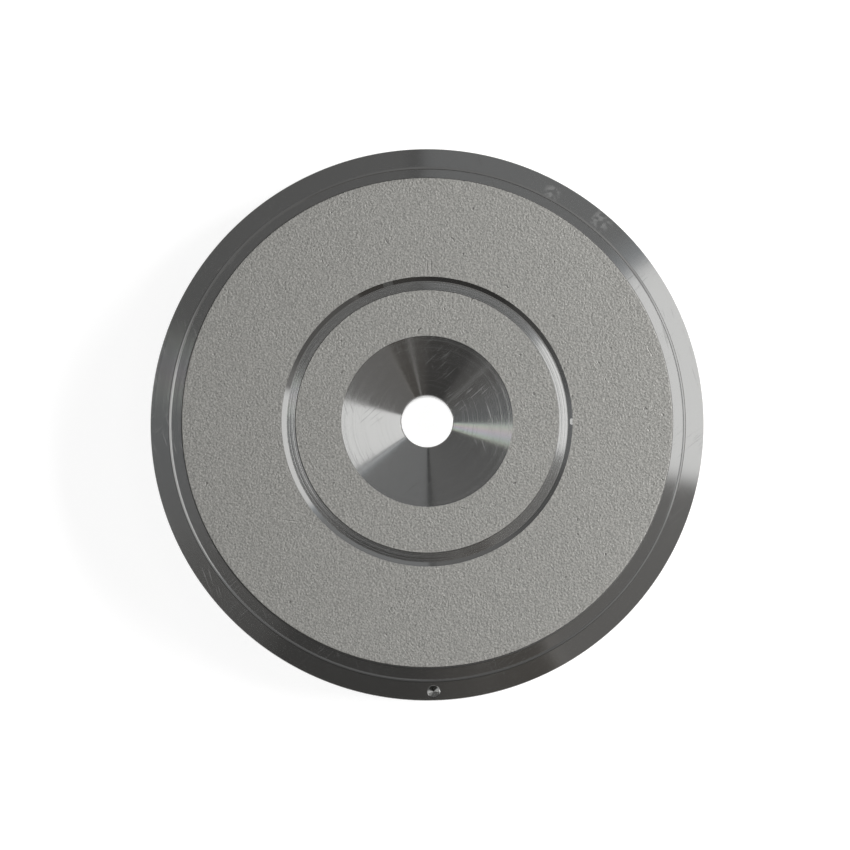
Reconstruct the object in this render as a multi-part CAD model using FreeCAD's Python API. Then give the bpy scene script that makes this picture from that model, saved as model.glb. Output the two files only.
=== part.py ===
# Turbocharger compressor back plate, bearing-housing side up.
#
# One aluminium casting, turned where it locates, seals or runs close to the wheel. The skin between the
# turned surfaces is left as cast. The plate lies on its flat compressor side, which is the diffuser wall.
# Millimetres. The origin is the centre of the compressor-side face, and +Z runs up the shaft's axis.

import FreeCAD, Part
import math
import os

# Rim: the turned flange that the two housings clamp between them
rim_diameter = 130.0
rim_thickness = 5.5
rim_chamfer = 0.15
outer_band_width = 4.3      # the clamped face, from the rim's edge to the step
inner_band_width = 3.1      # from the step to the foot of the cast body
inner_band_drop = 0.15      # how far the inner band lies below the outer one
step_cove_radius = 1.9      # left in the step's corner by the tool's nose

# Cast body: the raised disc inside the rim
plate_thickness = 10.5      # from the compressor-side face to the cast face
body_draft = 3.0            # degrees, so that the casting leaves its mould
body_shoulder_radius = 0.35

# Ring groove in the cast face
groove_inner_diameter = 61.6
groove_mouth_width = 3.1
groove_depth = 2.0
groove_lead_in_width = 1.0   # of the cone that leads a ring in over the outer wall
groove_lead_in_angle = 26.0  # degrees from the cast face
groove_edge_break = 0.15    # on the inner wall's edge

# Turned seat round the bore, a very shallow dish
seat_diameter = 40.0
seat_depth = 1.0            # at its edge, below the cast face
seat_dish_angle = 1.5       # degrees, falling towards the bore

# Seal bore, where the shaft's piston ring runs
bore_diameter = 12.0
bore_edge_break = 0.2
bore_lead_in = 0.8          # length of the cone that closes the ring as the plate goes on
bore_lead_in_angle = 20.0   # degrees from the axis

# Blind hole for the locating dowel, drilled in the middle of the outer band on the -Y side
dowel_diameter = 3.0
dowel_depth = 1.4           # of its straight wall
drill_point_angle = 118.0

# Recess for the back of the compressor wheel, on the underside
recess_diameter = 92.0
recess_depth = 4.0
recess_corner_radius = 2.0
recess_edge_break = 0.3

overcut = 1.0               # how far a cutter reaches past the face that it starts from
same = 0.001                # two sizes closer than this are one

# Worked out from the sizes above
step_diameter = rim_diameter - 2 * outer_band_width
body_diameter = step_diameter - 2 * inner_band_width
inner_band_height = rim_thickness - inner_band_drop
groove_outer_diameter = groove_inner_diameter + 2 * groove_mouth_width
dowel_circle_radius = (rim_diameter + step_diameter) / 4


def at_height(height):
    """The point of the plate's axis at one height."""
    return FreeCAD.Vector(0, 0, height)


def turned(outline):
    """Turns a closed outline of (radius, height) corners once round the axis."""
    corners = [FreeCAD.Vector(radius, 0, height) for radius, height in outline]
    face = Part.Face(Part.makePolygon(corners + corners[:1]))
    return face.revolve(at_height(0), FreeCAD.Vector(0, 0, 1), 360)


def circles(solid, diameter, height):
    """The solid's circular edges of one diameter at one height."""
    found = []
    for edge in solid.Edges:
        curve = edge.Curve
        if isinstance(curve, Part.Circle):
            if abs(2 * curve.Radius - diameter) < same and abs(curve.Center.z - height) < same:
                found.append(edge)
    return found


def rim():
    """The clamped flange: a flat outer band, then a coved step down to the inner band."""
    disc = Part.makeCylinder(rim_diameter / 2, rim_thickness)
    corners = circles(disc, rim_diameter, 0) + circles(disc, rim_diameter, rim_thickness)
    disc = disc.makeChamfer(rim_chamfer, corners)
    cove_reach = math.sqrt(step_cove_radius**2 - (step_cove_radius - inner_band_drop) ** 2)
    radius = step_diameter / 2 + step_cove_radius - cove_reach
    depth = inner_band_drop + step_cove_radius + overcut
    counterbore = Part.makeCylinder(radius, depth, at_height(inner_band_height))
    floor_corner = circles(counterbore, 2 * radius, inner_band_height)
    return disc.cut(counterbore.makeFillet(step_cove_radius, floor_corner))


def cast_body():
    """The raised disc: a drafted wall with a rounded shoulder."""
    height = plate_thickness - inner_band_height
    top_diameter = body_diameter - 2 * height * math.tan(math.radians(body_draft))
    body = Part.makeCone(body_diameter / 2, top_diameter / 2, height, at_height(inner_band_height))
    return body.makeFillet(body_shoulder_radius, circles(body, top_diameter, plate_thickness))


def ring_groove():
    """Cutter for the groove: upright walls, a flat floor and a lead-in cone at the outer edge."""
    floor = plate_thickness - groove_depth
    slope = math.tan(math.radians(groove_lead_in_angle))
    inner_radius = groove_inner_diameter / 2
    mouth_radius = groove_outer_diameter / 2
    wall_radius = mouth_radius - groove_lead_in_width
    return turned(
        [
            (inner_radius, floor),
            (wall_radius, floor),
            (wall_radius, plate_thickness - groove_lead_in_width * slope),
            (mouth_radius + overcut, plate_thickness + overcut * slope),
            (inner_radius, plate_thickness + overcut * slope),
        ]
    )


def seat_floor_height(radius):
    """Height of the seat's floor, which falls gently towards the bore."""
    fall = (seat_diameter / 2 - radius) * math.tan(math.radians(seat_dish_angle))
    return plate_thickness - seat_depth - fall


def centre_seat():
    """Cutter for the turned seat, whose floor is a very shallow cone."""
    edge_radius = seat_diameter / 2
    return turned(
        [
            (0, seat_floor_height(0)),
            (edge_radius, seat_floor_height(edge_radius)),
            (edge_radius, plate_thickness + overcut),
            (0, plate_thickness + overcut),
        ]
    )


def seal_bore():
    """Cutter for the through bore, with a broken edge above and the ring's lead-in cone below."""
    radius = bore_diameter / 2
    mouth = seat_floor_height(radius)
    flare = bore_lead_in * math.tan(math.radians(bore_lead_in_angle))
    cone_reach = 1 + overcut / bore_lead_in
    break_reach = bore_edge_break + overcut
    return turned(
        [
            (0, recess_depth - overcut),
            (radius + flare * cone_reach, recess_depth - overcut),
            (radius, recess_depth + bore_lead_in),
            (radius, mouth - bore_edge_break),
            (radius + break_reach, mouth + overcut),
            (0, mouth + overcut),
        ]
    )


def dowel_hole():
    """Cutter for the blind hole: a straight wall above the cone of the drill's point."""
    radius = dowel_diameter / 2
    wall_end = rim_thickness - dowel_depth
    point_depth = radius / math.tan(math.radians(drill_point_angle / 2))
    drill = turned(
        [
            (0, wall_end - point_depth),
            (radius, wall_end),
            (radius, rim_thickness + overcut),
            (0, rim_thickness + overcut),
        ]
    )
    drill.translate(FreeCAD.Vector(0, -dowel_circle_radius, 0))
    return drill


def wheel_recess():
    """Cutter for the pocket that the back of the compressor wheel turns in."""
    pocket = Part.makeCylinder(recess_diameter / 2, recess_depth + overcut, at_height(-overcut))
    return pocket.makeFillet(recess_corner_radius, circles(pocket, recess_diameter, recess_depth))


def back_plate():
    """The finished plate: the rim and the cast body as the one piece they are, then every cut."""
    plate = rim().fuse(cast_body()).removeSplitter()
    for cutter in (ring_groove(), centre_seat(), wheel_recess(), seal_bore(), dowel_hole()):
        plate = plate.cut(cutter)
    plate = plate.makeChamfer(groove_edge_break, circles(plate, groove_inner_diameter, plate_thickness))
    return plate.makeChamfer(recess_edge_break, circles(plate, recess_diameter, 0))


def save(shape, node):
    """Writes one node and says what was made."""
    solid = shape.Solids[0]
    solid.exportStep(f"parts/{node}.step")
    box = solid.optimalBoundingBox(False, False)
    print(
        f"{node}: {len(shape.Solids)} solid, valid {solid.isValid()}, "
        f"{box.XLength:.2f} x {box.YLength:.2f} x {box.ZLength:.2f} mm, "
        f"volume {solid.Volume / 1000:.2f} cm3"
    )


os.makedirs("parts", exist_ok=True)
save(back_plate(), "back_plate")
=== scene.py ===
# %% [markdown]
# # The back plate of a turbocharger
# This plate closes the bearing housing behind the compressor wheel. It is one aluminium casting
# whose rim, groove, seat, bore and underside were turned in a lathe, while the skin between them
# was only blasted with shot. The lesson makes both finishes: dull, grainy metal, whose widest
# dimples are real relief in the mesh, and bright turned metal that throws light in wedges, as the
# back of a pan does.

# %% Load the frame
import math

import bpy
from mathutils import Matrix, Vector


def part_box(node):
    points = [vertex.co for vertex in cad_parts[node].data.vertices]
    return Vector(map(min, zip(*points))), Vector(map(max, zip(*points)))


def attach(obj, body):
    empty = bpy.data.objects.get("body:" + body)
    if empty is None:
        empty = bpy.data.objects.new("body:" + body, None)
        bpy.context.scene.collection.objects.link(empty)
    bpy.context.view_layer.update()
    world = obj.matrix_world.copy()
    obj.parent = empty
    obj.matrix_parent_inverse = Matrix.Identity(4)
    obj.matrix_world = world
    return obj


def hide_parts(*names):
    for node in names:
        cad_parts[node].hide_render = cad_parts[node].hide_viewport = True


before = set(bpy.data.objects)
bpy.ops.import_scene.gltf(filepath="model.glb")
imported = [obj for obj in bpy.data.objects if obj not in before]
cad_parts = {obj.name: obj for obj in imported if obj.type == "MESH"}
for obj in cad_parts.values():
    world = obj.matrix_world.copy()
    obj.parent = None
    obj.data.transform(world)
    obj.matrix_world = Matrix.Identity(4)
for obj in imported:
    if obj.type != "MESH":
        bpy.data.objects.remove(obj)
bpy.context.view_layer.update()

plate_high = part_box("back_plate")[1]
MM = 0.001
rim_radius = plate_high.x / MM
plate_thickness = plate_high.z / MM
print(f"the plate is {2 * rim_radius:.1f} mm across and {plate_thickness:.1f} mm thick")

# %% [markdown]
# ## Sizes
# The frame gives the outer diameter and the thickness. The rest are the plate's own sizes in
# millimetres, the same that its solid was made with. They are written once here and every later
# cell works from them, so a change of one size stays a change of one line.

# %% Sizes of the plate, in millimetres
rim_thickness = 5.5
rim_chamfer = 0.15
outer_band_width = 4.3
inner_band_width = 3.1
inner_band_drop = 0.15
cove_radius = 1.9
body_draft = math.radians(3.0)
shoulder_radius = 0.35
groove_inner_radius = 30.8
groove_mouth_width = 3.1
groove_depth = 2.0
groove_lead_in_width = 1.0
groove_lead_in_angle = math.radians(26.0)
groove_lip = 0.15
seat_radius = 20.0
seat_depth = 1.0
seat_dish = math.radians(1.5)
bore_radius = 6.0
bore_edge_break = 0.2
lead_in_length = 0.8
lead_in_angle = math.radians(20.0)
recess_radius = 46.0
recess_depth = 4.0
recess_corner_radius = 2.0
recess_edge_break = 0.3
dowel_radius = 1.5
dowel_depth = 1.4
drill_half_angle = math.radians(59.0)

step_radius = rim_radius - outer_band_width
body_radius = step_radius - inner_band_width
inner_band_height = rim_thickness - inner_band_drop
groove_outer_radius = groove_inner_radius + groove_mouth_width
groove_floor_height = plate_thickness - groove_depth
dowel_circle_radius = (rim_radius + step_radius) / 2
print(f"bands start at {step_radius:.2f} and {body_radius:.2f} mm from the axis")

# %% [markdown]
# ## Node trees written as sums
# Both the finishes and the geometry are node trees. Wiring each Math node by hand hides what is
# being worked out, so a small class wraps a socket and lets Python's own operators add the nodes.
# Every other node comes from one method that takes its type, its settings and its sockets.


# %% A socket that can be added and multiplied
class Signal:
    """One output socket. Arithmetic on it adds Math nodes to its tree."""

    def __init__(self, graph, node, output):
        self.graph = graph
        self.node = node
        self.socket = node.outputs[output] if node.outputs else None

    def output(self, name):
        """Another output of the same node."""
        return Signal(self.graph, self.node, name)

    def __add__(self, other):
        return self.graph.math("ADD", self, other)

    def __sub__(self, other):
        return self.graph.math("SUBTRACT", self, other)

    def __rsub__(self, other):
        return self.graph.math("SUBTRACT", other, self)

    def __mul__(self, other):
        return self.graph.math("MULTIPLY", self, other)

    def __truediv__(self, other):
        return self.graph.math("DIVIDE", self, other)

    def __gt__(self, other):
        return self.graph.math("GREATER_THAN", self, other)

    def __lt__(self, other):
        return self.graph.math("LESS_THAN", self, other)

    __radd__ = __add__
    __rmul__ = __mul__


print("a Signal turns sums into nodes")


# %% A tree that is written as Python
class Graph:
    """A node tree that is written as Python."""

    def __init__(self, tree):
        self.tree = tree

    def add(self, kind, settings=None, inputs=None, output=0):
        """A node of one type, its settings made first, then its sockets filled or linked."""
        node = self.tree.nodes.new(kind)
        for name, value in (settings or {}).items():
            if name == "stops":
                self.set_stops(node.color_ramp.elements, value)
            else:
                setattr(node, name, value)
        for key, value in (inputs or {}).items():
            if isinstance(value, Signal):
                self.tree.links.new(value.socket, node.inputs[key])
            else:
                node.inputs[key].default_value = value
        return Signal(self, node, output)

    def set_stops(self, elements, stops):
        """Gives a colour ramp its (position, colour) stops."""
        while len(elements) < len(stops):
            elements.new(1.0)
        for element, (position, colour) in zip(elements, stops):
            element.position = position
            element.color = (*colour, 1.0)

    def math(self, operation, *values):
        """A sum on numbers."""
        return self.add("ShaderNodeMath", {"operation": operation}, dict(enumerate(values)))

    def vector(self, operation, *values, **named):
        """A sum on vectors or colours."""
        sockets = dict(enumerate(values)) | named
        return self.add("ShaderNodeVectorMath", {"operation": operation}, sockets)

    def mix(self, share, first, second):
        """A colour that goes from the first to the second while the share goes from 0 to 1."""
        sockets = {0: share, 6: first, 7: second}
        return self.add("ShaderNodeMix", {"data_type": "RGBA"}, sockets, output=2)

    def ramp(self, value, start, end, start_value=0.0, end_value=1.0):
        """Goes smoothly from one value to another while value goes from start to end."""
        sockets = {
            "Value": value,
            "From Min": start,
            "From Max": end,
            "To Min": start_value,
            "To Max": end_value,
        }
        return self.add("ShaderNodeMapRange", {"interpolation_type": "SMOOTHSTEP"}, sockets)


print("a Graph adds any node from its type, its settings and its sockets")

# %% [markdown]
# ## The camera
# The plate is looked at from nearly straight above, a little from its dowel's side. It could be
# framed with the lens shift, but the aim is moved by half a millimetre instead, so other views
# need no undoing.

# %% Look down on the plate
camera_distance = 0.70
camera_tilt = math.radians(4.6)
camera_turn = math.radians(-1.4)
view_width = 0.1994
aim_point = Vector((-0.00051, -0.00053, rim_thickness * MM))

camera_data = bpy.data.cameras.new("camera")
camera_data.lens = camera_data.sensor_width * camera_distance / view_width
camera = bpy.data.objects.new("camera", camera_data)
bpy.context.scene.collection.objects.link(camera)
turn = Matrix.Rotation(camera_turn, 3, "Z") @ Matrix.Rotation(camera_tilt, 3, "X")
camera_place = aim_point + turn @ Vector((0, 0, camera_distance))
camera.matrix_world = Matrix.Translation(camera_place) @ turn.to_4x4()
bpy.context.scene.camera = camera
print(f"the lens is {camera_data.lens:.0f} mm at {camera_distance:.2f} m")

# %% [markdown]
# ## The section
# A turned part is fully described by half of its cut face. It could be typed as a list of points,
# but lines and arcs say more: each stretch is one pass of a tool, so it also carries the finish
# that the tool left. Cast stretches are divided finely, because their relief is made from the mesh
# itself.

# %% A pen that draws lines and arcs
FINISHES = (
    "cast_skin",
    "turned_rim",
    "turned_groove",
    "turned_seat",
    "bore_wall",
    "turned_underside",
    "drilled",
)
cast_step = 0.45


class Section:
    """Corners of (radius, height) in millimetres, each with the finish of what follows it."""

    def __init__(self, radius, height):
        self.corners = [(radius, height)]
        self.finishes = []

    def line(self, radius, height, finish):
        """A straight stretch, divided where it is cast."""
        start_radius, start_height = self.corners[-1]
        length = math.hypot(radius - start_radius, height - start_height)
        pieces = math.ceil(length / cast_step) if finish == "cast_skin" else 1
        for piece in range(1, pieces + 1):
            part = piece / pieces
            corner = (
                start_radius + part * (radius - start_radius),
                start_height + part * (height - start_height),
            )
            self.corners.append(corner)
            self.finishes.append(finish)

    def arc(self, radius, start_angle, end_angle, pieces, finish):
        """A round stretch. Its angles are in degrees, from the outward radius upwards."""
        start = math.radians(start_angle)
        end = math.radians(end_angle)
        centre_radius = self.corners[-1][0] - radius * math.cos(start)
        centre_height = self.corners[-1][1] - radius * math.sin(start)
        for piece in range(1, pieces + 1):
            angle = start + (end - start) * piece / pieces
            corner = (
                centre_radius + radius * math.cos(angle),
                centre_height + radius * math.sin(angle),
            )
            self.corners.append(corner)
            self.finishes.append(finish)


print(f"a cast stretch is divided every {cast_step} mm")

# %% [markdown]
# ## Once round the cut face
# The pen starts where the bore opens into the recess and goes outwards along the underside, up the
# rim and back over the top, as the tools did. Each corner could be typed as a radius and a height,
# but they are worked out from the sizes above, so that the cone, the cove and the shoulder meet
# their neighbours.

# %% The sections of the plate and of the drill
recess_corner_pieces = 8
cove_pieces = 6
shoulder_pieces = 4


def seat_height(radius):
    """Height of the dished seat at one radius."""
    return plate_thickness - seat_depth - (seat_radius - radius) * math.tan(seat_dish)


def plate_section():
    """Once round the cut face: out along the underside, up the rim and back over the top."""
    flare = lead_in_length * math.tan(lead_in_angle)
    section = Section(bore_radius + flare, recess_depth)
    under = "turned_underside"
    section.line(recess_radius - recess_corner_radius, recess_depth, under)
    section.arc(recess_corner_radius, 90, 0, recess_corner_pieces, under)
    section.line(recess_radius, recess_edge_break, under)
    section.line(recess_radius + recess_edge_break, 0, under)
    section.line(rim_radius - rim_chamfer, 0, under)
    rim = "turned_rim"
    section.line(rim_radius, rim_chamfer, rim)
    section.line(rim_radius, rim_thickness - rim_chamfer, rim)
    section.line(rim_radius - rim_chamfer, rim_thickness, rim)
    section.line(step_radius, rim_thickness, rim)
    cove_start = -math.degrees(math.asin((cove_radius - inner_band_drop) / cove_radius))
    section.arc(cove_radius, cove_start, -90, cove_pieces, rim)
    section.line(body_radius, inner_band_height, rim)
    cast = "cast_skin"
    draft = math.degrees(body_draft)
    half_corner = math.radians(45 + draft / 2)
    body_top_radius = body_radius - (plate_thickness - inner_band_height) * math.tan(body_draft)
    shoulder_end = body_top_radius - shoulder_radius / math.tan(half_corner)
    wall_end = (
        shoulder_end + shoulder_radius * math.cos(body_draft),
        plate_thickness - shoulder_radius * (1 - math.sin(body_draft)),
    )
    section.line(*wall_end, cast)
    section.arc(shoulder_radius, draft, 90, shoulder_pieces, cast)
    section.line(groove_outer_radius, plate_thickness, cast)
    groove = "turned_groove"
    wall_radius = groove_outer_radius - groove_lead_in_width
    lead_in_depth = groove_lead_in_width * math.tan(groove_lead_in_angle)
    section.line(wall_radius, plate_thickness - lead_in_depth, groove)
    section.line(wall_radius, groove_floor_height, groove)
    section.line(groove_inner_radius, groove_floor_height, groove)
    section.line(groove_inner_radius, plate_thickness - groove_lip, groove)
    section.line(groove_inner_radius - groove_lip, plate_thickness, cast)
    section.line(seat_radius, plate_thickness, cast)
    seat = "turned_seat"
    section.line(seat_radius, plate_thickness - seat_depth, seat)
    break_radius = bore_radius + bore_edge_break
    section.line(break_radius, seat_height(break_radius), seat)
    section.line(bore_radius, seat_height(bore_radius) - bore_edge_break, seat)
    section.line(bore_radius, recess_depth + lead_in_length, "bore_wall")
    section.line(bore_radius + flare, recess_depth, "bore_wall")
    return section


def drill_section():
    """The dowel hole's drill: a point, a straight side and a top above the rim."""
    wall_end = rim_thickness - dowel_depth
    drill_top = rim_thickness + 1
    section = Section(0, wall_end - dowel_radius / math.tan(drill_half_angle))
    section.line(dowel_radius, wall_end, "drilled")
    section.line(dowel_radius, drill_top, "drilled")
    section.line(0, drill_top, "drilled")
    return section


plate_corners = plate_section()
print(f"the plate's section has {len(plate_corners.corners)} corners")

# %% [markdown]
# ## From a section to a mesh that a tree can read
# The section could be handed to the tree as a curve, but a mesh of loose points keeps what each
# point carries in named attributes: which finish follows it, and whether relief touches it. Relief
# needs cast skin on both sides of a point. Otherwise it would bend the clean circles where a
# turned band begins.


# %% The section as points with attributes
def section_points(name, section):
    """A mesh of the section's corners, hidden from the render."""
    mesh = bpy.data.meshes.new(name)
    places = [(radius * MM, 0, height * MM) for radius, height in section.corners]
    mesh.from_pydata(places, [], [])
    finishes = section.finishes + section.finishes[-1:]
    mesh.attributes.new("finish", "INT", "POINT")
    mesh.attributes.new("relief", "FLOAT", "POINT")
    finish = mesh.attributes["finish"]
    relief = mesh.attributes["relief"]
    for index, after in enumerate(finishes):
        before = finishes[index - 1]
        finish.data[index].value = FINISHES.index(after)
        relief.data[index].value = float(before == after == "cast_skin")
    points = bpy.data.objects.new(name, mesh)
    bpy.context.scene.collection.objects.link(points)
    points.hide_render = True
    return points


plate_points = section_points("plate_section", plate_corners)
drill_points = section_points("drill_section", drill_section())
print(f"{len(plate_points.data.vertices)} and {len(drill_points.data.vertices)} points")

# %% [markdown]
# ## Turning a section with Geometry Nodes
# The plate is a rule: every corner of the section goes once round the axis. Spin would do it, but
# a tree keeps the sizes open. A flat grid has one row for each corner and one column for each step
# round the axis, and each of its points is moved to where the lathe would put it. The row's finish
# goes to its faces, the two seams, along the section and round the axis, are welded shut, and the
# faces are turned to point outwards.


# %% Helpers for a geometry tree
def group_socket(tree, name, kind, direction="INPUT"):
    """One named input or output of a tree."""
    return tree.interface.new_socket(name=name, in_out=direction, socket_type=kind)


def at_row(graph, section, value, kind, row):
    """Reads a value of the section at one row of the grid."""
    settings = {"data_type": kind, "domain": "POINT"}
    sockets = {"Geometry": section, "Value": value, "Index": row}
    return graph.add("GeometryNodeSampleIndex", settings, sockets)


def attribute(graph, name, kind):
    """Reads a named attribute."""
    return graph.add("GeometryNodeInputNamedAttribute", {"data_type": kind}, {"Name": name})


def stored(graph, geometry, name, kind, domain, value):
    """The geometry with a value kept on it as a named attribute."""
    settings = {"data_type": kind, "domain": domain}
    sockets = {"Geometry": geometry, "Name": name, "Value": value}
    return graph.add("GeometryNodeStoreNamedAttribute", settings, sockets)


print("attributes carry the finish and the relief through the tree")

# %% A tree that turns a section
weld_distance = 0.001


def make_turning_tree():
    """A group that turns the points of a section into a closed mesh."""
    tree = bpy.data.node_groups.new("turn_a_section", "GeometryNodeTree")
    group_socket(tree, "Section", "NodeSocketGeometry")
    group_socket(tree, "Steps round", "NodeSocketInt")
    group_socket(tree, "Mesh", "NodeSocketGeometry", "OUTPUT")
    graph = Graph(tree)
    entry = graph.add("NodeGroupInput", output="Section")
    steps = entry.output("Steps round")
    counted = graph.add(
        "GeometryNodeAttributeDomainSize", {"component": "MESH"}, {"Geometry": entry}
    )
    rows = counted.output("Point Count")
    grid = graph.add("GeometryNodeMeshGrid", inputs={"Vertices X": rows, "Vertices Y": steps + 1})
    index = graph.add("GeometryNodeInputIndex")
    row = graph.math("FLOOR", (index + 0.5) / (steps + 1))
    column = index - row * (steps + 1)
    corner = at_row(graph, entry, graph.add("GeometryNodeInputPosition"), "FLOAT_VECTOR", row)
    corner_parts = graph.add("ShaderNodeSeparateXYZ", inputs={0: corner})
    radius = corner_parts.output("X")
    angle = column * math.tau / steps
    place = graph.add(
        "ShaderNodeCombineXYZ",
        inputs={
            "X": radius * graph.math("COSINE", angle),
            "Y": radius * graph.math("SINE", angle),
            "Z": corner_parts.output("Z"),
        },
    )
    turned = graph.add("GeometryNodeSetPosition", inputs={"Geometry": grid, "Position": place})
    relief = at_row(graph, entry, attribute(graph, "relief", "FLOAT"), "FLOAT", row)
    turned = stored(graph, turned, "relief", "FLOAT", "POINT", relief)
    face_row = graph.math("FLOOR", (index + 0.5) / steps)
    finish = at_row(graph, entry, attribute(graph, "finish", "INT"), "INT", face_row)
    turned = stored(graph, turned, "finish", "INT", "FACE", finish)
    welded = graph.add(
        "GeometryNodeMergeByDistance",
        inputs={"Geometry": turned, "Distance": weld_distance * MM},
    )
    outward = graph.add("GeometryNodeFlipFaces", inputs={"Mesh": welded})
    graph.add("NodeGroupOutput", inputs={"Mesh": outward})
    return tree


turning_tree = make_turning_tree()
print(f"the turning tree has {len(turning_tree.nodes)} nodes")

# %% [markdown]
# ## Relief of the mould, and the dowel hole
# Blasted aluminium is never flat: the shot leaves dimples about a millimetre wide and up to eight
# thousandths deep. A bump map alone would leave the cast face a perfect plane, so these are real
# geometry, pushed only inwards so that the plate keeps its size. The relief attribute keeps them
# off the turned metal. The drill is turned by the same tree and taken away with a boolean, as the
# real hole was drilled after turning. At one place the skin was left on a patch of the groove's
# lead-in cone, so the faces round that place are given back the cast finish.

# %% Dimples, hole and finishes
plate_steps = 720
drill_steps = 48
dimple_depth = 0.008
dimples_per_metre = 900.0
burr_angle = math.radians(104.5)
burr_radius = groove_outer_radius - groove_lead_in_width / 2
burr_reach = 1.15
burr_place = (
    burr_radius * math.cos(burr_angle) * MM,
    burr_radius * math.sin(burr_angle) * MM,
    plate_thickness * MM,
)
smooth_below = math.radians(28)


def make_dressing_tree(drill, materials):
    """The whole plate, from its section to its finished mesh."""
    tree = bpy.data.node_groups.new("dress_the_plate", "GeometryNodeTree")
    group_socket(tree, "Section", "NodeSocketGeometry")
    group_socket(tree, "Steps round", "NodeSocketInt")
    group_socket(tree, "Dimple depth", "NodeSocketFloat")
    group_socket(tree, "Dimples per metre", "NodeSocketFloat")
    group_socket(tree, "Mesh", "NodeSocketGeometry", "OUTPUT")
    graph = Graph(tree)
    entry = graph.add("NodeGroupInput", output="Section")
    turning = {"node_tree": turning_tree}
    sockets = {"Section": entry, "Steps round": entry.output("Steps round")}
    body = graph.add("GeometryNodeGroup", turning, sockets)
    place = graph.add("GeometryNodeInputPosition")
    sockets = {
        "Vector": place,
        "Scale": entry.output("Dimples per metre"),
        "Detail": 1.0,
        "Roughness": 0.5,
    }
    dimples = graph.add("ShaderNodeTexNoise", {"noise_dimensions": "3D"}, sockets)
    depth = graph.ramp(dimples, 0.3, 0.7) * entry.output("Dimple depth")
    inward = depth * attribute(graph, "relief", "FLOAT") * -1.0
    normal = graph.add("GeometryNodeInputNormal")
    push = graph.vector("SCALE", normal, Scale=inward)
    body = graph.add("GeometryNodeSetPosition", inputs={"Geometry": body, "Offset": push})
    drill_info = graph.add("GeometryNodeObjectInfo", inputs={"Object": drill}, output="Geometry")
    sockets = {"Section": drill_info, "Steps round": drill_steps}
    drill_body = graph.add("GeometryNodeGroup", turning, sockets)
    drill_body = graph.add(
        "GeometryNodeSetPosition",
        inputs={"Geometry": drill_body, "Offset": (0.0, -dowel_circle_radius * MM, 0.0)},
    )
    body = graph.add(
        "GeometryNodeMeshBoolean",
        {"operation": "DIFFERENCE", "solver": "EXACT"},
        {"Mesh 1": body, "Mesh 2": drill_body},
    )
    edge_angle = graph.add("GeometryNodeInputMeshEdgeAngle", output="Unsigned Angle")
    body = graph.add(
        "GeometryNodeSetShadeSmooth",
        {"domain": "EDGE"},
        {"Geometry": body, "Shade Smooth": edge_angle < smooth_below},
    )
    bare = graph.vector("DISTANCE", place, burr_place).output("Value") > burr_reach * MM
    finish = attribute(graph, "finish", "INT") * bare
    compare = {"data_type": "INT", "operation": "EQUAL"}
    for index, material in enumerate(materials):
        chosen = graph.add("FunctionNodeCompare", compare, {2: finish, 3: index})
        body = graph.add(
            "GeometryNodeSetMaterial",
            inputs={"Geometry": body, "Selection": chosen, "Material": material},
        )
    real = graph.add("GeometryNodeRealizeInstances", inputs={"Geometry": body})
    graph.add("NodeGroupOutput", inputs={"Mesh": real})
    return tree


print(f"dimples are up to {dimple_depth} mm deep, and the plate is turned in {plate_steps} steps")

# %% [markdown]
# ## Metals
# All of it is the same aluminium, and the finishes differ in grain, but two differ in tone as well:
# the groove's metal is made lighter than the rest, as painted highlight that brightens its
# reflections, and the bore's wall darker. What each needs is a fixed noise, a bump and a way to put
# a mark where the plate was knocked or rubbed. A picture could hold the marks, but strokes written
# in millimetres stay sharp at any size and need no file.


# %% Helpers for a finish
def new_material(name):
    """An empty material and the graph that its nodes are made in."""
    material = bpy.data.materials.new(name)
    material.use_nodes = True
    material.node_tree.nodes.clear()
    return material, Graph(material.node_tree)


def noise(graph, place, per_metre, seed, detail=0.0):
    """A fixed noise, from 0 to 1, with so many cells in a metre."""
    settings = {"noise_dimensions": "4D"}
    sockets = {"Vector": place, "W": seed, "Scale": per_metre, "Detail": detail, "Roughness": 0.5}
    return graph.add("ShaderNodeTexNoise", settings, sockets)


def bump(graph, height, depth):
    """Bends the normal by a height from 0 to 1 that stands for so many millimetres."""
    sockets = {"Height": height * (depth * MM), "Distance": 1.0, "Strength": 1.0}
    return graph.add("ShaderNodeBump", inputs=sockets)


def stroke(graph, place, start, end, width):
    """1 on a straight mark between two places in millimetres, fading to 0 at its width."""
    first = Vector(start) * MM
    along = (Vector(end) - Vector(start)) * MM
    offset = graph.vector("SUBTRACT", place, tuple(first))
    reach = graph.vector("DOT_PRODUCT", offset, tuple(along)).output("Value") / along.length_squared
    reach = graph.math("MINIMUM", graph.math("MAXIMUM", reach, 0.0), 1.0)
    nearest = graph.vector("SCALE", tuple(along), Scale=reach)
    gap = graph.vector("DISTANCE", offset, nearest).output("Value")
    return graph.ramp(gap, 0.0, width * MM, 1.0, 0.0)


def strokes(graph, place, marks, width):
    """Several marks at once, each from 0 to 1."""
    total = stroke(graph, place, *marks[0], width)
    for start, end in marks[1:]:
        total = graph.math("MAXIMUM", total, stroke(graph, place, start, end, width))
    return total


def finish_material(graph, settings):
    """The metal's shader and its output."""
    shader = graph.add("ShaderNodeBsdfPrincipled", inputs=settings)
    graph.add("ShaderNodeOutputMaterial", inputs={"Surface": shader})


print("marks are written in millimetres")
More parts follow.
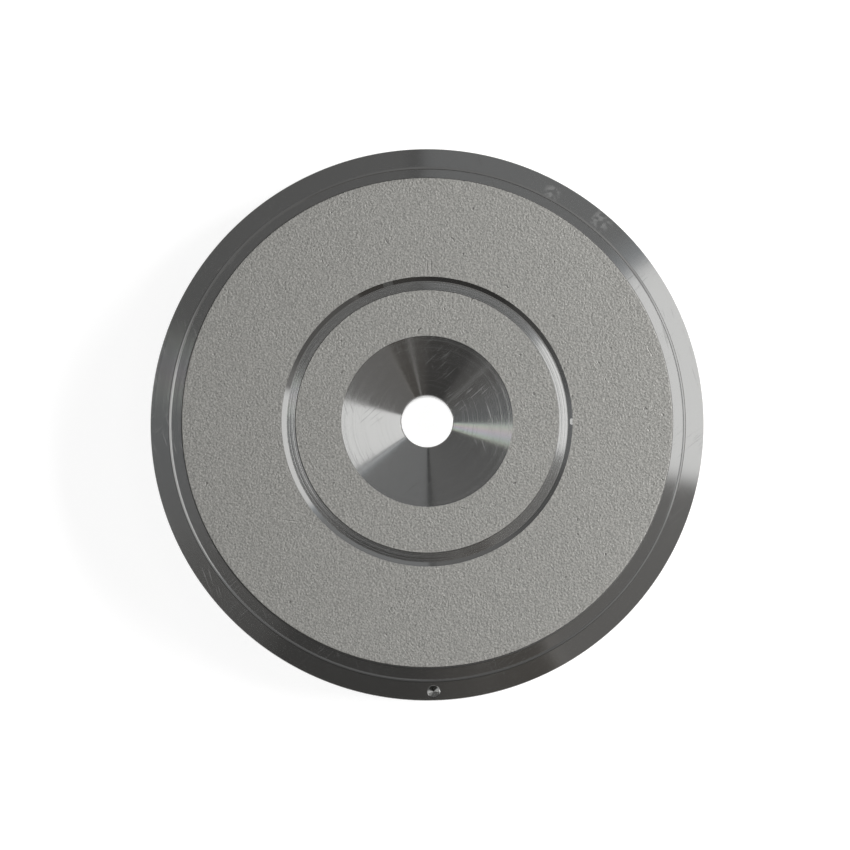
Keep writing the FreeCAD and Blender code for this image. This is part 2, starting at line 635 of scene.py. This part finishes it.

# %% [markdown]
# ## The cast skin
# Shot leaves a casting with a grain of about half a millimetre. It is deep for its width, so the
# light from the side draws it strongly, and a bump map is enough because the grain is too small to
# change the plate's outline. Pits, three rubbed places and a few scratches are added to the same
# height, so that they answer the light as the grain does. A second noise, a speckle, makes the
# metal itself lighter and darker, because a bump alone looks combed by the light. Painted shade
# darkens the colour where the shoulder and the drafted wall turn away from the top, which dims
# the lamp's highlight on them, and darkens it again towards the wall's foot.

# %% Blasted aluminium
cast_tint = (1.014, 1.0, 0.946)
grain_per_metre = 2150.0
grain_depth = 0.105
speckle_per_metre = 2400.0
pits_per_metre = 900.0
# painted shade: the wall's foot darkens between these heights in mm, the shoulder and wall by slant
painted_shade_foot_heights = (5.6, 10.0)
painted_shade_slant_range = (0.88, 0.996)
rubbed_width = 0.28
scratch_width = 0.2
rubbed_marks = (
    ((0.8, 35.2, plate_thickness), (0.9, 37.6, plate_thickness)),
    ((1.8, 35.0, plate_thickness), (1.8, 37.8, plate_thickness)),
    ((-46.1, 28.6, plate_thickness), (-45.8, 31.8, plate_thickness)),
)
scratch_marks = (
    ((-34.2, -22.2, plate_thickness), (-30.4, -22.8, plate_thickness)),
    ((51.9, 15.8, plate_thickness), (53.0, 13.7, plate_thickness)),
    ((51.2, -2.9, plate_thickness), (51.6, -3.5, plate_thickness)),
)


def cast_skin():
    """Blasted casting: one dull grain, with pits, rubbed places and scratches."""
    material, graph = new_material("cast_skin")
    place = graph.add("ShaderNodeTexCoord", output="Object")
    grain = noise(graph, place, grain_per_metre, seed=1.0, detail=1.0)
    speckle = noise(graph, place, speckle_per_metre, seed=5.0, detail=1.0)
    pits = graph.ramp(noise(graph, place, pits_per_metre, seed=3.0), 0.80, 0.86)
    rubbed = strokes(graph, place, rubbed_marks, rubbed_width)
    scratches = strokes(graph, place, scratch_marks, scratch_width)
    height = grain * (1 - rubbed * 0.6) - pits * 0.5 - scratches * 0.45
    normal = graph.add("ShaderNodeNewGeometry", output="Normal")
    facing_up = graph.add("ShaderNodeSeparateXYZ", inputs={0: normal}).output("Z")
    level = graph.add("ShaderNodeSeparateXYZ", inputs={0: place}).output("Z")
    # painted shade: the colour is darkened on the shoulder and wall and towards the wall's foot
    painted_shade_on_slant = graph.ramp(facing_up, *painted_shade_slant_range, 0.16, 1.0)
    painted_shade_at_foot = graph.ramp(level, painted_shade_foot_heights[0] * MM, painted_shade_foot_heights[1] * MM, 0.5, 1.0)
    tone = graph.ramp(speckle, 0.3, 0.7, 0.36, 0.54) * (1 - pits * 0.3)
    colour = graph.vector("SCALE", cast_tint, Scale=tone * (painted_shade_on_slant * painted_shade_at_foot))
    settings = {
        "Base Color": colour,
        "Metallic": 0.4,
        "Roughness": 0.62 - rubbed * 0.22,
        "Normal": bump(graph, height, grain_depth),
    }
    finish_material(graph, settings)
    return material


cast_finish = cast_skin()
print(f"the cast skin has {len(cast_finish.node_tree.nodes)} nodes")

# %% [markdown]
# ## Turned metal
# This is the hard one: its fine grooves run round the axis, so it throws light far along the
# radius and hardly at all round it. The shader's anisotropy does that, and a fine wave of the
# radius bends the normal as the grooves do. A texture of rings could be painted instead, but it
# would not answer the light. Handling leaves fine straight scratches across the grooves, which
# only make the metal rougher, and two smears of a greasy thumb on the rim, where the metal shines
# a little less. A knock has left a small nick in the groove's lead-in cone, and it bends the
# normal as another groove would.

# %% Grooves, scratches, thumb prints and a nick
fine_pitch = 0.12
broad_pitch = 1.1
blue_share = 0.985
scratches_per_metre = 3800.0
scratch_stretch = 20.0
scratch_patches_per_metre = 95.0
scratch_directions = ((106.0, 11.0), (40.0, 15.0))
smears_per_metre = 900.0
print_places = (((42.2, 46.9, rim_thickness), 3.4), ((30.8, 53.8, rim_thickness), 2.6))
nick_marks = (((33.65, -0.6, 10.4), (33.65, -1.3, 10.4)),)
nick_width = 0.5


def rings(graph, radius, pitch, detail=0.0):
    """A wave of the radius, centred on 0, that turns over about once in a pitch of millimetres."""
    settings = {"noise_dimensions": "1D"}
    sockets = {"W": radius / (pitch * MM), "Scale": 1.0, "Detail": detail, "Roughness": 0.5}
    return graph.add("ShaderNodeTexNoise", settings, sockets) - 0.5


def fine_scratches(graph, place, direction, seed):
    """Thin straight scratches along one direction in degrees, from 0 to 1, in patches."""
    sockets = {
        "Vector": place,
        "Rotation": (0.0, 0.0, math.radians(direction)),
        "Scale": (scratch_stretch, 1.0, 1.0),
    }
    drawn = graph.add("ShaderNodeMapping", {"vector_type": "TEXTURE"}, sockets)
    lines = graph.ramp(noise(graph, drawn, scratches_per_metre, seed), 0.66, 0.74)
    patches = graph.ramp(noise(graph, place, scratch_patches_per_metre, seed + 1), 0.5, 0.64)
    return lines * patches


def thumb_prints(graph, place):
    """Cloudy smears round the places that were touched, from 0 to 1."""
    cloud = graph.ramp(noise(graph, place, smears_per_metre, seed=7.0, detail=1.0), 0.44, 0.6)
    touches = []
    for middle, reach in print_places:
        gap = graph.vector("DISTANCE", place, tuple(Vector(middle) * MM)).output("Value")
        touches.append(graph.ramp(gap, 0.3 * reach * MM, reach * MM, 1.0, 0.0))
    return cloud * sum(touches)


print(f"{len(print_places)} thumb prints and {len(nick_marks)} nick")


# %% Six turned finishes
def turned_metal(
    name, tone, roughness, fine_slope, broad_slope, scratched=0.0, touched=0.0, nicked=0.0
):
    """Turned aluminium: its grooves lie round the Z axis and tilt the normal along the radius."""
    material, graph = new_material(name)
    place = graph.add("ShaderNodeTexCoord", output="Object")
    parts = graph.add("ShaderNodeSeparateXYZ", inputs={0: place})
    x, y = parts, parts.output("Y")
    radius = graph.math("SQRT", x * x + y * y)
    spoke = graph.add("ShaderNodeCombineXYZ", inputs={"X": x / radius, "Y": y / radius})
    fine = rings(graph, radius, fine_pitch, 1.0) * fine_slope
    tilt = fine + rings(graph, radius, broad_pitch, 2.0) * broad_slope
    if nicked:
        tilt = strokes(graph, place, nick_marks, nick_width) * nicked + tilt
    leaning = graph.vector("SCALE", spoke, Scale=tilt)
    normal = graph.add("ShaderNodeNewGeometry", output="Normal")
    normal = graph.vector("NORMALIZE", graph.vector("ADD", normal, leaning))
    metallic = 1.0
    if scratched:
        crossed = sum(fine_scratches(graph, place, *one_way) for one_way in scratch_directions)
        roughness = crossed * scratched + roughness
    if touched:
        metallic = 1 - thumb_prints(graph, place) * touched
    settings = {
        "Base Color": (tone, tone, blue_share * tone, 1.0),
        "Metallic": metallic,
        "Roughness": roughness,
        "Anisotropic": 1.0,
        "Anisotropic Rotation": 0.25,
        "Normal": normal,
    }
    finish_material(graph, settings)
    return material


finishes = [
    cast_finish,
    turned_metal("turned_rim", 0.7, 0.06, 0.06, 0.01, scratched=0.05, touched=0.2),
    # painted highlight: the groove's tone is higher than the rim's, so its reflections are brighter
    turned_metal("turned_groove", 0.84, 0.07, 0.18, 0.012, nicked=0.5),
    turned_metal("turned_seat", 0.73, 0.04, 0.05, 0.004, scratched=0.06),
    turned_metal("bore_wall", 0.6, 0.2, 0.1, 0.0),
    turned_metal("turned_underside", 0.7, 0.1, 0.2, 0.04),
    turned_metal("drilled", 0.7, 0.05, 0.01, 0.0),
]
print(f"{len(finishes)} finishes of one aluminium")

# %% [markdown]
# ## The plate
# The tree is put on the section's points as a modifier and its inputs are filled in by the
# identifiers of their sockets. Its result is then kept as a plain mesh, because that is what other
# programs read.


# %% Turn and dress the plate
def set_inputs(modifier, values):
    """Fills a geometry tree's inputs by their names."""
    for item in modifier.node_group.interface.items_tree:
        if item.in_out == "INPUT" and item.name in values:
            modifier[item.identifier] = values[item.name]


dressing = plate_points.modifiers.new("turn_and_dress", "NODES")
dressing.node_group = make_dressing_tree(drill_points, finishes)
sizes = {
    "Steps round": plate_steps,
    "Dimple depth": dimple_depth * MM,
    "Dimples per metre": dimples_per_metre,
}
set_inputs(dressing, sizes)
evaluated = plate_points.evaluated_get(bpy.context.evaluated_depsgraph_get())
plate_mesh = bpy.data.meshes.new_from_object(evaluated)
plate = bpy.data.objects.new("dressed_back_plate", plate_mesh)
bpy.context.scene.collection.objects.link(plate)
for points in (plate_points, drill_points):
    bpy.data.objects.remove(points)
plate_mesh.calc_loop_triangles()
print(f"the plate has {len(plate_mesh.loop_triangles)} triangles")

# %% [markdown]
# ## Light
# The metal mirrors whatever stands round it, so the room is made as one picture that the world
# shows in each direction. Lamps alone would do for the cast skin, but turned metal draws the edges
# of what it mirrors as wedges, and a ceiling has such edges. This one is centred where flat metal
# mirrors the camera. Its middle, which the flat bands and the seat show, and its outer part, which
# the groove's cone shows, share one set of sectors: a white window on the right and dim sectors
# beside it. Between the two lies a ring with sectors of its own, which the rounded step between
# the rim's bands shows.

# %% The ceiling's sectors, as azimuth in degrees, brightness and warmth
main_sectors = (
    (-13.5, 0.15, 0.02), (-10.5, 0.82, 0), (34.5, 0.82, 0), (37.5, 0.30, -0.05),
    (44, 0.19, -0.01), (90, 0.18, -0.015), (91, 0.10, 0), (93, 0.10, 0), (94, 0.13, 0),
    (120, 0.117, 0), (158, 0.105, 0), (182, 0.13, -0.03), (202, 0.12, 0), (212, 0.10, 0.02),
    (232, 0.08, 0.02), (238, 0.048, 0.02), (268, 0.05, 0.03), (276, 0.07, 0.05),
    (298, 0.075, 0.08), (299, 0.19, 0.04), (302, 0.14, 0.03), (338, 0.155, 0.02),
)
ring_sectors = (
    (-12, 0.45, 0), (0, 0.51, 0), (20, 0.43, 0), (36, 0.20, 0), (60, 0.10, 0), (84, 0.10, 0),
    (116, 0.13, 0), (156, 0.27, 0), (174, 0.66, 0), (204, 0.70, 0), (220, 0.32, 0),
    (236, 0.22, 0), (268, 0.17, 0), (296, 0.135, 0), (332, 0.16, 0),
)
ring_edges = ((0.13, 0.2), (0.62, 0.71))
wall_edge = (0.84, 0.95)
mirrored_camera = turn @ Vector((0, 0, -1))
print(f"the ceiling has {len(main_sectors)} stops and its ring has {len(ring_sectors)}")

# %% [markdown]
# ## Smaller things in the room
# Polished metal also shows what is small and sharp. Near the ceiling's middle hang two dark bars,
# three slits of light and a strip of faint colours: turned metal draws each as a wedge that ends
# at the bore. A sill dims the window outwards, and two wide stretches of the ceiling's outer part
# are darker. All of them are sectors, so one row of numbers places each: where it starts and ends,
# how soft its edges are, and its strength.

# %% Sectors in degrees of azimuth
slit_rows = ((282.5, 285.5, 1.5, 0.14), (220.0, 224.0, 1.5, 0.06), (37.5, 39.0, 1.0, 0.25))
bar_rows = ((89.0, 92.0, 1.0, 0.8), (35.0, 36.5, 1.0, 0.8))
dark_rows = ((126.0, 160.0, 16.0, 0.5), (190.0, 338.0, 12.0, 0.5))
strip_row = (160.0, 175.5, 3.0, 0.47)
colour_radians_per_degree = 0.55
colour_strength = 0.11


def sector_colours(graph, azimuth, rows):
    """Colour at an azimuth in degrees, going straight from each row to the next."""
    stops = sorted(
        (degrees % 360 / 360, (light * (1 + warmth), light, light * (1 - warmth)))
        for degrees, light, warmth in rows
    )
    (first, first_colour), (last, last_colour) = stops[0], stops[-1]
    seam = Vector(last_colour).lerp(Vector(first_colour), (1 - last) / (first + 1 - last))
    stops = [(0.0, tuple(seam)), *[stop for stop in stops if stop[0] > 0], (1.0, tuple(seam))]
    return graph.add("ShaderNodeValToRGB", {"stops": stops}, {"Fac": azimuth / 360})


def sector(graph, azimuth, start, end, soft, strength):
    """A strength between two azimuths and 0 outside them, with edges so many degrees wide."""
    rise = graph.ramp(azimuth, start - soft / 2, start + soft / 2)
    return rise * graph.ramp(azimuth, end - soft / 2, end + soft / 2, strength, 0.0)


def sectors(graph, azimuth, rows):
    """Several sectors in one."""
    return sum(sector(graph, azimuth, *row) for row in rows)


def between(graph, value, rising, falling):
    """0, then 1 after the first pair of values and 0 again after the second."""
    return graph.ramp(value, *rising) * graph.ramp(value, *falling, 1.0, 0.0)


def pastel(graph, azimuth):
    """Faint colours that change with the azimuth, as fine grooves split white light."""
    white = (1.0, 1.0, 1.0)
    phases = (2.6, 0.5, 4.2)
    angles = graph.vector("SCALE", white, Scale=azimuth * colour_radians_per_degree)
    waves = graph.vector("SINE", graph.vector("ADD", angles, phases))
    return graph.vector("ADD", graph.vector("SCALE", waves, Scale=colour_strength), white)


print(f"the ceiling has {len(slit_rows)} slits, {len(bar_rows)} bars and one strip")

# %% [markdown]
# ## The room as one picture
# Every part is worked out from two numbers: the azimuth, and how far a direction lies off the
# ceiling's centre. The walls are lighter to the right. A dark gap runs along them just outside the
# ceiling, except at the left, where a shelf of light stands. The dowel hole's sides mirror both,
# which is what makes a blind hole so small look drilled. The camera itself sees plain white, as it
# does past a white backdrop.


# %% Ceiling, walls and backdrop
middle_edge = (0.055, 0.07)
sill_edge = (0.5, 0.8)
sill_depth = 0.3
dark_edge = (0.7, 0.76)
wall_tones = (0.42, 0.62)
gap_edges = ((0.84, 0.86), (0.96, 0.98))
gap_left_edge = (-0.6, -0.4)
gap_depth = 0.75
shelf_row = (152.0, 202.0, 16.0, 1.3)
shelf_edges = ((0.84, 0.87), (0.9, 0.93))


def make_ceiling(graph, azimuth, off_axis):
    """The ceiling and its ring, with everything that dims or lights a part of them."""
    main = sector_colours(graph, azimuth, main_sectors)
    sill = graph.ramp(main, 0.3, 0.8) * graph.ramp(off_axis, *sill_edge, 0.0, sill_depth)
    middle = graph.ramp(off_axis, *middle_edge, 1.0, 0.0)
    bars = sectors(graph, azimuth, bar_rows) * middle
    dark = sectors(graph, azimuth, dark_rows) * graph.ramp(off_axis, *dark_edge)
    main = graph.vector("SCALE", main, Scale=(1 - sill) * (1 - bars) * (1 - dark))
    main = graph.vector("ADD", main, sectors(graph, azimuth, slit_rows) * middle)
    strip = sector(graph, azimuth, *strip_row) * middle
    main = graph.vector("ADD", main, graph.vector("SCALE", pastel(graph, azimuth), Scale=strip))
    ring = sector_colours(graph, azimuth, ring_sectors)
    return graph.mix(between(graph, off_axis, *ring_edges), main, ring)


def make_walls(graph, azimuth, off_axis, x):
    """The walls, lighter to the right, with the dark gap and the shelf of light at the left."""
    walls = graph.ramp(x, -0.4, 0.9, *wall_tones)
    gap = between(graph, off_axis, *gap_edges) * graph.ramp(x, *gap_left_edge)
    shelf = sector(graph, azimuth, *shelf_row) * between(graph, off_axis, *shelf_edges)
    return walls * (1 - gap * gap_depth) + shelf


def make_room():
    """The world: white to the camera, and ceiling and walls to everything else."""
    world = bpy.data.worlds.new("room")
    world.use_nodes = True
    world.node_tree.nodes.clear()
    graph = Graph(world.node_tree)
    direction = graph.add("ShaderNodeTexCoord", output="Generated")
    parts = graph.add("ShaderNodeSeparateXYZ", inputs={0: direction})
    x = parts - mirrored_camera.x
    y = parts.output("Y") - mirrored_camera.y
    off_axis = graph.math("SQRT", x * x + y * y)
    azimuth = graph.math("ARCTAN2", y, x) * (180 / math.pi) - math.degrees(camera_turn)
    azimuth = graph.math("FLOORED_MODULO", azimuth, 360.0)
    ceiling = make_ceiling(graph, azimuth, off_axis)
    walls = make_walls(graph, azimuth, off_axis, x)
    share = graph.math("MAXIMUM", graph.ramp(off_axis, *wall_edge), parts.output("Z") < 0.0)
    light = graph.mix(share, ceiling, walls)
    rays = graph.add("ShaderNodeLightPath", output="Is Camera Ray")
    shown = graph.mix(rays, light, (1.0, 1.0, 1.0, 1.0))
    background = graph.add("ShaderNodeBackground", inputs={"Color": shown, "Strength": 1.0})
    graph.add("ShaderNodeOutputWorld", inputs={"Surface": background})
    bpy.context.scene.world = world
    return world


room = make_room()
bpy.context.scene.view_settings.view_transform = "Standard"
print(f"the room is made of {len(room.node_tree.nodes)} nodes")

# %% [markdown]
# ## The lamp
# A room alone lights the cast skin evenly, and its grain would hardly show. One wide, low lamp at
# the right rakes over it, so each dimple has a light and a dark side, and the skin gets a little
# darker from right to left. It could be a spot, but a soft oblong gives the plate the soft shadow
# of a window.


# %% A soft lamp at the right
def soft_lamp(name, place, width, height, watts):
    """An oblong area lamp that looks at the middle of the plate."""
    lamp_data = bpy.data.lights.new(name, "AREA")
    lamp_data.shape = "RECTANGLE"
    lamp_data.size = width
    lamp_data.size_y = height
    lamp_data.energy = watts
    lamp = bpy.data.objects.new(name, lamp_data)
    place = Vector(place)
    aim = place.to_track_quat("Z", "Y").to_matrix().to_4x4()
    lamp.matrix_world = Matrix.Translation(place) @ aim
    bpy.context.scene.collection.objects.link(lamp)
    return lamp


right_lamp = soft_lamp("right_lamp", (0.70, 0.12, 0.19), 0.60, 0.17, 11.0)
print(f"the lamp has {right_lamp.data.energy:.1f} W")

# %% [markdown]
# ## The floor
# The plate lies on a white table. A white surface under a plain light is still grey, so rays from
# the camera also meet a little emission, and the surface's own shading keeps the soft shadow. The
# table's top is a hundredth of a millimetre under the plate, because two faces at one height
# flicker.


# %% A white floor
floor_reach = 3.0
floor_gap = 0.01
floor_tone = 0.6
floor_glow = 0.8


def make_floor():
    """A square table top, white to the camera and in the metal's reflections."""
    mesh = bpy.data.meshes.new("floor")
    reach, low = floor_reach, -floor_gap * MM
    corners = [(x * reach, y * reach, low) for x, y in ((-1, -1), (1, -1), (1, 1), (-1, 1))]
    mesh.from_pydata(corners, [], [(0, 1, 2, 3)])
    material, graph = new_material("floor_white")
    rays = graph.add("ShaderNodeLightPath")
    seen = rays + rays.output("Is Glossy Ray") + rays.output("Is Transmission Ray")
    grey = (floor_tone, floor_tone, floor_tone, 1.0)
    diffuse = graph.add("ShaderNodeBsdfDiffuse", inputs={"Color": grey})
    lit = {"Color": (1.0, 1.0, 1.0, 1.0), "Strength": seen * floor_glow}
    glow = graph.add("ShaderNodeEmission", inputs=lit)
    surface = graph.add("ShaderNodeAddShader", inputs={0: diffuse, 1: glow})
    graph.add("ShaderNodeOutputMaterial", inputs={"Surface": surface})
    mesh.materials.append(material)
    floor = bpy.data.objects.new("floor", mesh)
    bpy.context.scene.collection.objects.link(floor)
    return floor


floor = make_floor()
print("the floor is white to the camera and keeps the plate's shadow")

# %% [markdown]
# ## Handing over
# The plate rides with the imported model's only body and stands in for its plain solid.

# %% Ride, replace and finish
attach(plate, "root")
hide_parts("back_plate")
